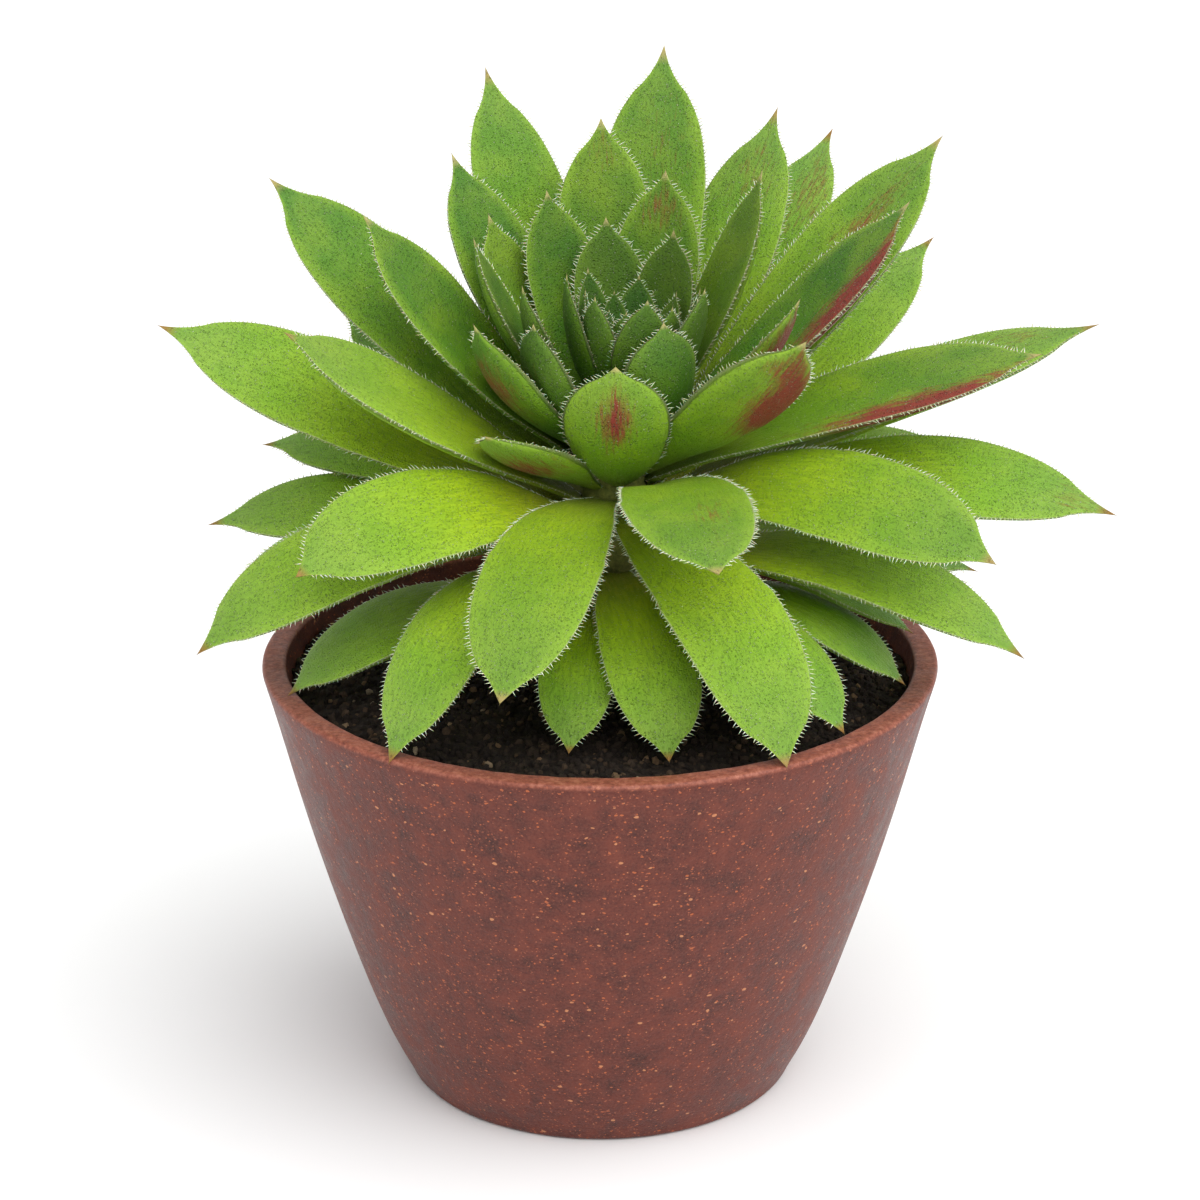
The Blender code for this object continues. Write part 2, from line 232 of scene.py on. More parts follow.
foot_radius = float(np.polyval(outside_fit, FOOT_ROUND))
inner_rim = float(np.polyval(inside_fit, pot_height - RIM_ROUND))
profile = [(foot_radius * k / 4, 0.0) for k in (1, 2, 3)]
profile += arc(foot_radius - FOOT_ROUND, FOOT_ROUND, FOOT_ROUND, -88, -12, 5)
for k in range(1, POT_UP + 1):
    height = FOOT_ROUND + (pot_height - RIM_ROUND - FOOT_ROUND) * k / (POT_UP + 1)
    profile.append((float(np.polyval(outside_fit, height)), height))
profile += arc(rim_radius - RIM_ROUND, pot_height - RIM_ROUND, RIM_ROUND, 0, 88, 6)
profile += arc(inner_rim + RIM_ROUND, pot_height - RIM_ROUND, RIM_ROUND, 92, 180, 6)
for k in range(1, POT_UP // 2):
    height = pot_height - RIM_ROUND - (pot_height - RIM_ROUND - floor_top) * k / (POT_UP // 2)
    profile.append((float(np.polyval(inside_fit, height)), height))
profile += [(float(np.polyval(inside_fit, floor_top)) * share, floor_top) for share in (1.0, 0.6, 0.3)]
points = [(0.0, 0.0, 0.0)]
for radius, height in profile:
    for k in range(POT_AROUND):
        turn = 2 * math.pi * k / POT_AROUND
        wobble = noise.noise(Vector((math.cos(turn) * 3, math.sin(turn) * 3, height / 0.02)))
        raw = noise.noise(Vector((math.cos(turn) * 40, math.sin(turn) * 40, 5.0)))
        out = radius + WALL_WOBBLE * wobble
        up = height + RIM_RAWNESS * raw * max(0.0, (height - pot_height) / RIM_ROUND + 1.0)
        points.append((out * math.cos(turn), out * math.sin(turn), up))
points.append((0.0, 0.0, floor_top))

pot_material, tree, shader = new_material("pressed_fibre_brown")
place = millimetres(tree)
mottle = noise_of(tree, place, 0.28, 6.0, 0.65)
grain = noise_of(tree, place, 3.2, 5.0, 0.7)
brown = ramp(
    tree, mottle,
    (0.30, srgb(62, 24, 17)), (0.48, srgb(90, 38, 28)), (0.62, srgb(105, 47, 34)), (0.80, srgb(122, 60, 43)),
)
brown = mix(tree, between(tree, grain, 0.40, 0.75, 0.0, 0.55), brown, srgb(122, 68, 52))
brown = mix(tree, between(tree, grain, 0.44, 0.26, 0.0, 0.65), brown, srgb(48, 24, 24))
# Each kind of fleck: how closely it is set, the share of places left bare, its size and its colour
for scale, rarity, size, colour in (
    (1.3, 0.58, 0.27, srgb(196, 104, 58)),
    (0.75, 0.80, 0.22, srgb(212, 142, 96)),
    (2.3, 0.60, 0.32, srgb(172, 96, 66)),
):
    tilt = {"Vector": place, "Scale": (1.0, 1.0, 1.5), "Rotation": (scale, 0.4, 0.2)}
    stretched = add(tree, "ShaderNodeMapping", tilt).outputs[0]
    ragged = add(tree, "ShaderNodeTexNoise", {"Vector": place, "Scale": scale * 1.6}).outputs[1]
    bent = mix(tree, 0.35, stretched, ragged)
    cells = add(tree, "ShaderNodeTexVoronoi", {"Vector": bent, "Scale": scale * 1.5})
    chosen = add(tree, "ShaderNodeSeparateColor", {0: cells.outputs["Color"]})
    rare = maths(tree, "GREATER_THAN", chosen.outputs[0], rarity)
    reach = between(tree, chosen.outputs[1], 0.0, 1.0, size * 0.45, size, False)
    spot = maths(tree, "MULTIPLY", rare, maths(tree, "LESS_THAN", cells.outputs["Distance"], reach))
    brown = mix(tree, maths(tree, "MULTIPLY", spot, 0.7), brown, colour)
height = add(tree, "ShaderNodeSeparateXYZ", {0: place}).outputs[2]
raw_rim = between(tree, height, pot_height / MM - RAW_FROM, pot_height / MM - RAW_FULL)
rim_colour = ramp(
    tree, noise_of(tree, place, 1.6, 6.0, 0.7),
    (0.30, srgb(98, 48, 38)), (0.50, srgb(146, 82, 64)), (0.72, srgb(184, 118, 96)),
)
brown = mix(tree, maths(tree, "MULTIPLY", raw_rim, 0.9), brown, rim_colour)
tree.links.new(brown, shader.inputs["Base Color"])
tree.links.new(between(tree, mottle, 0.3, 0.7, 0.36, 0.52), shader.inputs["Roughness"])
shader.inputs["Specular IOR Level"].default_value = 0.32
bump(tree, shader, (grain, 0.05), (mottle, 0.22), (noise_of(tree, place, 0.9, 3.0), 0.08))

pot = new_piece("pot_shell", points, turned_faces(len(profile), POT_AROUND), pot_material)
for k in range(DRAIN_HOLES):
    turn = 2 * math.pi * (k + 0.5) / DRAIN_HOLES
    shape = bmesh.new()
    at = Matrix.Translation((DRAIN_CIRCLE * math.cos(turn), DRAIN_CIRCLE * math.sin(turn), 0.0))
    bmesh.ops.create_cone(
        shape, cap_ends=True, segments=32, matrix=at,
        radius1=DRAIN_RADIUS, radius2=DRAIN_RADIUS, depth=DRAIN_DEPTH,
    )
    drill_mesh = bpy.data.meshes.new("drill")
    shape.to_mesh(drill_mesh)
    shape.free()
    drill = bpy.data.objects.new("drill", drill_mesh)
    bpy.context.scene.collection.objects.link(drill)
    cut = pot.modifiers.new("drain", "BOOLEAN")
    cut.operation = "DIFFERENCE"
    cut.object = drill
    apply_modifiers(pot)
    bpy.data.objects.remove(drill)
stands_for(pot, "pot")

# Soil
# Dark peat compost with bark crumbs and a few pale grains, filled to just under the rim. It is a lumpy bed
# with loose crumbs scattered all over it.

SOIL_AROUND = 120
SOIL_OUT = 46
LUMP = 0.75 * MM
TOP_DEPTH = 5.0 * MM  # the soil's top lies within this of its highest point
CLEAR_OF_STEM = 9.0 * MM
BED_OVER = 0.15 * MM  # how far the bed's top runs past the frame's soil
BED_GAP = 0.3 * MM  # between the bed's sides and the pot's wall

soil_low, soil_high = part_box("soil")
soil_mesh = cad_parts["soil"].data
surface = {}
for vertex in soil_mesh.vertices:
    if vertex.co.z > soil_high[2] - TOP_DEPTH and vertex.co.xy.length > CLEAR_OF_STEM:
        surface[round(vertex.co.xy.length, 5)] = vertex.co.z
surface_radii = sorted(surface)
surface_heights = [surface[r] for r in surface_radii]
bed_radius = soil_high[0] + BED_OVER
bed_bottom = soil_low[2]


def bed_height(x, y):
    """The soil's top at a place, with its lumps."""
    radius = math.hypot(x, y)
    level = float(np.interp(radius, surface_radii, surface_heights))
    spot = Vector((x, y, 0.0)) / MM
    lumps = noise.fractal(spot * 0.13, 1.0, 2.0, 3) + 0.55 * noise.fractal(spot * 0.45, 1.0, 2.0, 3)
    return level + LUMP * lumps


points = [(0.0, 0.0, bed_height(0.0, 0.0))]
for ring in range(1, SOIL_OUT + 1):
    radius = bed_radius * (ring / SOIL_OUT) ** 0.9
    for k in range(SOIL_AROUND):
        turn = 2 * math.pi * k / SOIL_AROUND
        x, y = radius * math.cos(turn), radius * math.sin(turn)
        points.append((x, y, bed_height(x, y)))
for share in (0.25, 0.5, 0.75, 1.0):
    height = surface_heights[-1] + (bed_bottom - surface_heights[-1]) * share
    radius = float(np.polyval(inside_fit, height)) - BED_GAP
    for k in range(SOIL_AROUND):
        turn = 2 * math.pi * k / SOIL_AROUND
        points.append((radius * math.cos(turn), radius * math.sin(turn), height))
points.append((0.0, 0.0, bed_bottom))
faces = turned_faces(SOIL_OUT + 4, SOIL_AROUND)

soil_material, tree, shader = new_material("peat_compost")
place = millimetres(tree)
tone = add(tree, "ShaderNodeAttribute", attribute_name="tone").outputs["Fac"]
clod = noise_of(tree, place, 0.9, 8.0, 0.75)
earth = ramp(
    tree, clod,
    (0.32, srgb(20, 15, 12)), (0.52, srgb(46, 37, 30)), (0.70, srgb(72, 58, 46)), (0.86, srgb(98, 78, 60)),
)
crumb = ramp(
    tree, tone,
    (0.0, srgb(24, 19, 16)), (0.45, srgb(44, 36, 30)), (0.80, srgb(68, 55, 44)), (0.94, srgb(96, 76, 58)),
    (0.985, srgb(150, 120, 88)), (1.0, srgb(190, 172, 146)),
)
loose = between(tree, tone, 0.0, 0.02)
earth = mix(tree, maths(tree, "MULTIPLY", loose, 0.72), earth, crumb)
tree.links.new(earth, shader.inputs["Base Color"])
shader.inputs["Roughness"].default_value = 0.93
shader.inputs["Specular IOR Level"].default_value = 0.25
bump(tree, shader, (clod, 0.6), (noise_of(tree, place, 5.0, 4.0, 0.7), 0.12))

bed = new_piece("soil_bed", points, [face[::-1] for face in faces], soil_material)
top = bed.data.attributes.new("top", "FLOAT", "POINT")
top.data.foreach_set("value", [1.0 if k <= SOIL_OUT * SOIL_AROUND else 0.0 for k in range(len(points))])


def new_group(name, inputs):
    """A Geometry Nodes tree with a geometry in and out and the inputs named, as {name: (kind, value)}."""
    group = bpy.data.node_groups.new(name, "GeometryNodeTree")
    face = group.interface
    face.new_socket("Geometry", in_out="INPUT", socket_type="NodeSocketGeometry")
    for label, (kind, value) in inputs.items():
        socket = face.new_socket(label, in_out="INPUT", socket_type=f"NodeSocket{kind}")
        if value is not None:
            socket.default_value = value
    face.new_socket("Geometry", in_out="OUTPUT", socket_type="NodeSocketGeometry")
    return group, group.nodes.new("NodeGroupInput"), group.nodes.new("NodeGroupOutput")


def grow(obj, group, values):
    """Runs the tree on the object with these values for its inputs, and keeps the result as plain mesh."""
    modifier = obj.modifiers.new(group.name, "NODES")
    modifier.node_group = group
    for item in group.interface.items_tree:
        if item.in_out == "INPUT" and item.name in values:
            modifier[item.identifier] = values[item.name]
    apply_modifiers(obj)


def random_of(group, low, high, seed, kind="FLOAT"):
    """Random values between low and high, different at each point."""
    made = add(group, "FunctionNodeRandomValue", data_type=kind)
    first = 0 if kind == "FLOAT_VECTOR" else 2
    made.inputs[first].default_value = low
    made.inputs[first + 1].default_value = high
    made.inputs["Seed"].default_value = seed
    return made.outputs[0 if kind == "FLOAT_VECTOR" else 1]


# Crumbs: dented little lumps of all sizes from smallest to largest, strewn over the bed
crumbs, feed, result = new_group(
    "soil_crumbs",
    {
        "Crumbs per square metre": ("Float", 1.1e6),
        "Smallest": ("Float", 0.3 * MM),
        "Largest": ("Float", 1.0 * MM),
        "Dents": ("Float", 0.3 * MM),
        "Seed": ("Int", 1),
        "Material": ("Material", None),
    },
)
on_top = add(crumbs, "GeometryNodeInputNamedAttribute", {"Name": "top"}, data_type="FLOAT").outputs[0]
strewn = add(
    crumbs, "GeometryNodeDistributePointsOnFaces",
    {
        "Mesh": feed.outputs["Geometry"],
        "Selection": on_top,
        "Density": feed.outputs["Crumbs per square metre"],
        "Seed": feed.outputs["Seed"],
    },
)
lump = add(crumbs, "GeometryNodeMeshIcoSphere", {"Radius": 1.0, "Subdivisions": 1})
size = add(crumbs, "FunctionNodeRandomValue", data_type="FLOAT")
crumbs.links.new(feed.outputs["Smallest"], size.inputs[2])
crumbs.links.new(feed.outputs["Largest"], size.inputs[3])
size.inputs["Seed"].default_value = 11
squash = random_of(crumbs, (0.7, 0.55, 0.5), (1.25, 1.0, 0.9), 12, "FLOAT_VECTOR")
shape = vector_maths(crumbs, "SCALE", squash, size.outputs[1])
placed = add(
    crumbs, "GeometryNodeInstanceOnPoints",
    {
        "Points": strewn.outputs["Points"],
        "Instance": lump.outputs["Mesh"],
        "Rotation": random_of(crumbs, (0.0, 0.0, 0.0), (6.28, 6.28, 6.28), 13, "FLOAT_VECTOR"),
        "Scale": shape,
    },
)
toned = add(
    crumbs, "GeometryNodeStoreNamedAttribute",
    {"Geometry": placed.outputs[0], "Name": "tone", "Value": random_of(crumbs, 0.03, 1.0, 14)},
    data_type="FLOAT", domain="INSTANCE",
)
loose_crumbs = add(crumbs, "GeometryNodeRealizeInstances", {"Geometry": toned.outputs[0]})
where = add(crumbs, "GeometryNodeInputPosition").outputs[0]
dent = add(crumbs, "ShaderNodeTexNoise", {"Scale": 1400.0, "Detail": 1.0, "Vector": where})
push = vector_maths(crumbs, "ADD", dent.outputs[1], (-0.5, -0.5, -0.5))
push = vector_maths(crumbs, "SCALE", push, feed.outputs["Dents"])
dented = add(crumbs, "GeometryNodeSetPosition", {"Geometry": loose_crumbs.outputs[0], "Offset": push})
whole = add(crumbs, "GeometryNodeJoinGeometry")
crumbs.links.new(feed.outputs["Geometry"], whole.inputs[0])
crumbs.links.new(dented.outputs[0], whole.inputs[0])
painted = add(
    crumbs, "GeometryNodeSetMaterial", {"Geometry": whole.outputs[0], "Material": feed.outputs["Material"]}
)
crumbs.links.new(painted.outputs[0], result.inputs[0])

grow(
    bed, crumbs,
    {
        "Crumbs per square metre": 1.35e6,
        "Smallest": 0.18 * MM,
        "Largest": 0.78 * MM,
        "Dents": 0.6 * MM,
        "Seed": 3,
        "Material": soil_material,
    },
)
stands_for(bed, "soil")

# Stem
# The short thick crown the leaves grow from, woody and brown below and ringed with the scars of leaves that
# have gone. It stands in the soil and is all but hidden by the leaves.

STEM_AROUND = 48
STEM_UP = 60
STEM_SLIM = 0.97
SCAR_DEPTH = 0.16 * MM  # on a stem of the radius below
SCAR_RADIUS = 6.0 * MM
SCAR_TURN = 2.9  # radians of the scars' wave in a millimetre

stem_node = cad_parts["stem"]
stem_points = np.array([vertex.co for vertex in stem_node.data.vertices])
low_end = stem_points[stem_points[:, 2] < stem_points[:, 2].min() + 1.5 * MM].mean(0)
high_end = stem_points[stem_points[:, 2] > stem_points[:, 2].max() - 0.3 * MM].mean(0)
axis = Vector(high_end - low_end).normalized()
along_axis = (stem_points - low_end) @ np.array(axis)
off_axis = np.linalg.norm(stem_points - low_end - np.outer(along_axis, np.array(axis)), axis=1)
stem_stations = {}
for reach, radius in zip(along_axis, off_axis):
    key = round(float(reach) / MM)
    stem_stations[key] = max(stem_stations.get(key, 0.0), float(radius))
stem_keys = sorted(stem_stations)
stem_length = float(along_axis.max())
sideways = axis.orthogonal().normalized()
forwards = axis.cross(sideways)
points = [tuple(low_end)]
for ring in range(STEM_UP + 1):
    reach = stem_length * ring / STEM_UP
    radius = float(np.interp(reach / MM, stem_keys, [stem_stations[k] for k in stem_keys]))
    for k in range(STEM_AROUND):
        turn = 2 * math.pi * k / STEM_AROUND
        scar = math.sin(reach / MM * SCAR_TURN + 3 * math.sin(turn * 5 + reach * 900))
        out = radius * STEM_SLIM + SCAR_DEPTH * scar * (radius / SCAR_RADIUS)
        spot = Vector(low_end) + axis * reach + (sideways * math.cos(turn) + forwards * math.sin(turn)) * out
        points.append(tuple(spot))
points.append(tuple(Vector(low_end) + axis * stem_length))

stem_material, tree, shader = new_material("woody_crown")
place = millimetres(tree)
bark = noise_of(tree, place, 1.2, 6.0, 0.7)
wood = ramp(tree, bark, (0.30, srgb(58, 44, 28)), (0.52, srgb(106, 84, 52)), (0.74, srgb(146, 124, 80)))
fresh = between(tree, add(tree, "ShaderNodeSeparateXYZ", {0: place}).outputs[2], 62.0, 74.0, 0.0, 0.85)
wood = mix(tree, fresh, wood, ramp(tree, bark, (0.35, srgb(92, 104, 30)), (0.7, srgb(132, 142, 52))))
tree.links.new(wood, shader.inputs["Base Color"])
shader.inputs["Roughness"].default_value = 0.75
bump(tree, shader, (bark, 0.35), (noise_of(tree, place, 4.0, 4.0), 0.1))
faces = turned_faces(STEM_UP + 1, STEM_AROUND)
stem = new_piece("stem_crown", points, [face[::-1] for face in faces], stem_material)
stands_for(stem, "stem")

# Leaves
# Fleshy, waxy blades, each grown in one piece from the stem: flat or a little hollow on top, fuller below,
# widest past the middle and drawn out to a point. A row of short clear hairs stands along both margins.

BLADE_ALONG = 40
BLADE_HALF = 13
MARGIN_ROUND = 2.6
RING_POINTS = 8  # points in each ring of a frame leaf
FULL_TO = 0.55  # the share of its length at which a blade starts to narrow
POINT_FROM = 0.93  # and at which its drawn-out point starts
POINT_PINCH = 0.55
MARGIN_WAVE = 0.018
SKIN_SWELL = 0.10 * MM
SWELL_FADE = 3.0 * MM  # a blade narrower than twice this swells less
CHANNEL = 0.05  # hollow along the middle near the base, as a share of the half width
CROWN = 0.07  # rise of the top near the tip, as a share of the half width
HAIRS_TO = 0.985
HAIR_SPACING = 0.55  # millimetres, on the outermost leaf
HAIR_CLOSER = 0.10  # the innermost leaf's hairs stand this much closer
HAIR_LENGTH = 0.70
HAIR_LONGER = 0.15
HAIR_STOUTNESS = 0.10

# Where a leaf is flushed red: (place along, place across, spread along, spread across, amount). Across goes
# from -1 at the left margin to 1 at the right one, looking from the base to the tip.
BLUSH = {
    "leaf_42": [(0.70, -0.55, 0.20, 0.65, 1.2), (0.93, 0.0, 0.10, 0.9, 0.45)],
    "leaf_48": [(0.78, -0.2, 0.26, 1.0, 1.1)],
    "leaf_40": [(0.74, 0.0, 0.18, 0.34, 0.85)],
    "leaf_37": [(0.62, 0.0, 0.24, 0.9, 0.72)],
    "leaf_47": [(0.68, 0.2, 0.24, 0.9, 0.62)],
    "leaf_38": [(0.72, 1.0, 0.26, 0.42, 1.1)],
    "leaf_44": [(0.74, 0.95, 0.26, 0.5, 1.1)],
    "leaf_33": [(0.72, 0.0, 0.22, 0.36, 0.55)],
    "leaf_36": [(0.80, 0.2, 0.16, 0.7, 0.22)],
    "leaf_28": [(0.86, 0.0, 0.14, 0.7, 0.30)],
    "leaf_18": [(0.86, 0.4, 0.16, 0.7, 0.40)],
    "leaf_25": [(0.86, -0.3, 0.16, 0.7, 0.30)],
    "leaf_35": [(0.72, -0.25, 0.15, 0.35, 0.30)],
    "leaf_54": [(0.70, 0.1, 0.14, 0.4, 0.25)],
    "leaf_46": [(0.90, 0.0, 0.10, 0.8, 0.45)],
    "leaf_43": [(0.93, 0.0, 0.08, 0.8, 0.30)],
    "leaf_20": [(0.96, 0.0, 0.06, 1.0, 0.35)],
}


def frame_rings(node):
    """The frame leaf's rings of points from the base outwards, and its tip. A ring is its left margin, its
    right margin, the middle of its top and the middle of its underside."""
    spots = {tuple(round(c, 6) for c in vertex.co): vertex.co.copy() for vertex in node.data.vertices}
    spots = list(spots.values())
    tip = max(spots, key=lambda spot: (spot - Vector(low_end)).length)
    far = sorted(spots, key=lambda spot: (spot - tip).length)[-RING_POINTS:]
    onward = (tip - sum(far, Vector()) / RING_POINTS).normalized()
    spots.sort(key=lambda spot: spot.dot(onward))
    rings = []
    for first in range(0, len(spots) - RING_POINTS, RING_POINTS):
        ring = spots[first:first + RING_POINTS]
        left, right = max(((a, b) for a in ring for b in ring), key=lambda pair: (pair[0] - pair[1]).length)
        chord = (right - left).normalized()
        centre = (left + right) / 2
        mids = sorted(ring, key=lambda spot: abs((spot - centre).dot(chord)))[:2]
        mids.sort(key=lambda spot: (spot - centre).length)
        rings.append([left, right, *mids])
    middle = len(rings) // 2
    for k in [middle, *range(middle + 1, len(rings)), *range(middle - 1, -1, -1)]:
        ring = rings[k]
        known = rings[k - 1 if k > middle else k + 1]
        if k != middle and (ring[2] - ring[3]).dot(known[2] - known[3]) < 0:
            ring[2], ring[3] = ring[3], ring[2]
        towards_right = known[1] - known[0] if k != middle else onward.cross(ring[2] - ring[3])
        if (ring[1] - ring[0]).dot(towards_right) < 0:
            ring[0], ring[1] = ring[1], ring[0]
    return rings, tip


def smooth_through(places, values, wanted):
    """A smooth curve through values at places, read at the wanted places."""
    places, values, wanted = np.asarray(places), np.asarray(values, float), np.asarray(wanted)
    slopes = np.gradient(values, places, axis=0)
    out = np.empty((len(wanted),) + values.shape[1:])
    for row, at in enumerate(wanted):
        k = int(np.clip(np.searchsorted(places, at) - 1, 0, len(places) - 2))
        span = places[k + 1] - places[k]
        t = (at - places[k]) / span
        a, b = 2 * t**3 - 3 * t**2 + 1, t**3 - 2 * t**2 + t
        c, d = -2 * t**3 + 3 * t**2, t**3 - t**2
        out[row] = a * values[k] + b * span * slopes[k] + c * values[k + 1] + d * span * slopes[k + 1]
    return out


def blade(name, rings, tip, age, seed, material):
    """A smooth closed leaf through the rings, with what its skin needs to know stored on it.
    age runs from 0 at the outermost leaf to 1 in the heart."""
    tops = [ring[2] for ring in rings] + [tip]
    places = np.concatenate([[0.0], np.cumsum([(b - a).length for a, b in zip(tops, tops[1:])])])
    length = float(places[-1])
    places = places / length
    middle = [(ring[0] + ring[1]) / 2 for ring in rings] + [tip]
    half = [(ring[1] - ring[0]) / 2 for ring in rings]
    half.append(half[-1] * 0.03)
    hollow = [ring[2] - (ring[0] + ring[1]) / 2 for ring in rings]
    hollow.append(hollow[-1] * 0.0)
    deep = [ring[3] - ring[2] for ring in rings]
    deep.append(deep[-1] * 0.15)
    along = [1 - (1 - k / BLADE_ALONG) ** 1.25 for k in range(BLADE_ALONG + 1)]
    curve = [smooth_through(places, values, along) for values in (middle, half, hollow, deep)]
    widest = max(float(np.linalg.norm(h)) for h in curve[1])
    drawn_out = 0.032 + 0.008 * math.sin(seed * 2.3)
    blunt = 0.25 + 0.6 * min(max(-tip.y / (35 * MM), 0.0), 1.0) if age < 1 else 0.1
    turns = [-math.pi / 2 + math.pi * k / (BLADE_HALF - 1) for k in range(BLADE_HALF)]
    section = [(math.sin(t), 0.0) for t in turns] + [(math.sin(-t), 1.0) for t in turns[1:-1]]
    points, facts, skin = [], [], []
    for k, s in enumerate(along):
        centre, h, g, d = (Vector(c[k]) for c in curve)
        beyond = max(0.0, (s - FULL_TO) / (1 - FULL_TO))
        rounded = widest * (1 - beyond ** 3.2) ** 0.72
        h = h * (1 + blunt * (rounded / max(h.length, 1e-9) - 1)) if beyond > 0 else h
        drawn = max(0.0, (s - POINT_FROM) / (1 - POINT_FROM))
        h = h * (1 - POINT_PINCH * drawn)
        if drawn > 0:
            ahead = Vector(curve[0][-1] - curve[0][-4]).normalized()
            centre = centre + ahead * length * drawn_out * drawn**2
        wave = 1 + MARGIN_WAVE * noise.noise(Vector((s * 7, seed * 3.1, 0.0)))
        h = h * wave
        half_now = max(h.length, 0.02 * MM)
        for u, below in section:
            top = centre + h * u + g * (1 - u * u)
            ripple = noise.noise(Vector((s * 5, u * 1.5, seed * 1.7)))
            swell = SKIN_SWELL * ripple * min(1.0, half_now / SWELL_FADE)
            rise = -d.normalized() if d.length > 1e-9 else Vector((0, 0, 1))
            channel = CHANNEL * half_now * (1 - s) * (math.exp(-((u / 0.35) ** 2)))
            crown = CROWN * half_now * (1 - abs(u) ** MARGIN_ROUND) * s
            edge = (1 - abs(u) ** MARGIN_ROUND) ** 0.5
            thick = d.length * edge
            lip = 0.12 * d.length * edge
            if below:
                spot = top - rise * (thick * 1.04 - lip) + rise * swell * 0.5
            else:
                spot = top + rise * (crown + lip * 0.6 - channel + swell)
            points.append(spot)
            facts.append((s, u, below if abs(u) < 0.999 else 0.5))
            skin.append((u * half_now / MM + (40 if below else 0), s * length / MM))
    around = len(section)
    faces = []
    for ring in range(BLADE_ALONG):
        for k in range(around):
            a, b = ring * around + k, ring * around + (k + 1) % around
            faces.append((a, b, b + around, a + around))
    points += [sum((Vector(p) for p in points[:around]), Vector()) / around]
    faces += [((k + 1) % around, k, len(points) - 1) for k in range(around)]
    last = BLADE_ALONG * around
    points += [sum((Vector(p) for p in points[last:last + around]), Vector()) / around + ahead * 0.35 * MM]
    faces += [(last + k, last + (k + 1) % around, len(points) - 1) for k in range(around)]
    facts += [(0.0, 0.0, 0.5), (1.0, 0.0, 0.5)]
    skin += [(0.0, 0.0), (0.0, length / MM)]
    obj = new_piece(name, points, faces, material)
    mesh = obj.data
    facts = np.array(facts)
    outwards = np.zeros((len(points), 3))
    for k in range(BLADE_ALONG + 1):
        h = curve[1][k] / max(np.linalg.norm(curve[1][k]), 1e-9)
        ahead_now = curve[0][min(k + 1, BLADE_ALONG)] - curve[0][max(k - 1, 0)]
        ahead_now = ahead_now / max(np.linalg.norm(ahead_now), 1e-9)
        for j in range(around):
            outwards[k * around + j] = h * np.sign(facts[k * around + j, 1]) + ahead_now * 0.45
    count = len(points)
    margin = np.array([1.0 if abs(abs(u) - 1.0) < 1e-6 and s < HAIRS_TO else 0.0 for s, u, _ in facts])
    flush = np.zeros(len(points))
    for s0, u0, ds, du, amount in BLUSH.get(name, []):
        flush += amount * np.exp(-(((facts[:, 0] - s0) / ds) ** 2) - (((facts[:, 1] - u0) / du) ** 2))
    for label, values in (
        ("along", facts[:, 0]), ("across", facts[:, 1]), ("below", facts[:, 2]), ("margin", margin),
        ("flush", flush), ("age", np.full(count, age)), ("lot", np.full(count, (seed * 0.618) % 1.0)),
    ):
        mesh.attributes.new(label, "FLOAT", "POINT").data.foreach_set("value", values.astype(np.float32))
    pointing = mesh.attributes.new("outwards", "FLOAT_VECTOR", "POINT")
    pointing.data.foreach_set("vector", outwards.astype(np.float32).ravel())
    uv = mesh.uv_layers.new(name="skin")
    corners = np.array([skin[loop.vertex_index] for loop in mesh.loops], np.float32)
    uv.data.foreach_set("uv", corners.ravel())
    return obj


def attribute(tree, name):
    return add(tree, "ShaderNodeAttribute", attribute_name=name).outputs["Fac"]


leaf_material, tree, shader = new_material("fleshy_leaf")
along, across, below = (attribute(tree, n) for n in ("along", "across", "below"))
age, lot, flush = (attribute(tree, n) for n in ("age", "lot", "flush"))
skin = add(tree, "ShaderNodeUVMap", uv_map="skin").outputs[0]
sideways_shift, lengthwise_shift = (maths(tree, "MULTIPLY", lot, far) for far in (300.0, 170.0))
shift = add(tree, "ShaderNodeCombineXYZ", {0: sideways_shift, 1: lengthwise_shift}).outputs[0]
skin = vector_maths(tree, "ADD", skin, shift)
lengthwise = add(tree, "ShaderNodeMapping", {"Vector": skin, "Scale": (2.6, 0.35, 1.0)}).outputs[0]
cloud = noise_of(tree, skin, 0.16, 3.0, 0.5)
streak = noise_of(tree, lengthwise, 1.0, 5.0, 0.65)
pores = add(tree, "ShaderNodeTexVoronoi", {"Vector": skin, "Scale": 1.9}).outputs["Distance"]
fine = noise_of(tree, skin, 5.5, 3.0, 0.6)
# Young leaves are deep green, old ones yellow-green; every blade is yellower towards its base, and the old
# ones are also darker there, which is painted shade from the leaves lying over their bases
old_green_with_shaded_base = ramp(
    tree, along,
    (0.0, srgb(122, 110, 2)), (0.18, srgb(164, 168, 2)), (0.42, srgb(164, 196, 4)),
    (0.72, srgb(126, 178, 18)), (1.0, srgb(92, 142, 40)),
)
young = ramp(
    tree, along,
    (0.0, srgb(88, 124, 4)), (0.35, srgb(64, 128, 2)), (0.75, srgb(42, 104, 4)), (1.0, srgb(58, 112, 14)),
)
green = mix(tree, between(tree, age, 0.30, 0.80), old_green_with_shaded_base, young)
green = mix(tree, between(tree, cloud, 0.38, 0.70, 0.0, 0.17), green, srgb(196, 216, 20))
green = mix(tree, between(tree, streak, 0.38, 0.64, 0.0, 0.42), green, srgb(74, 124, 3))
green = mix(tree, between(tree, lot, 0.0, 1.0, 0.0, 0.20, False), green, srgb(190, 212, 34))
green = mix(tree, maths(tree, "MULTIPLY", between(tree, below, 0.5, 1.0), 0.14), green, srgb(140, 178, 36))
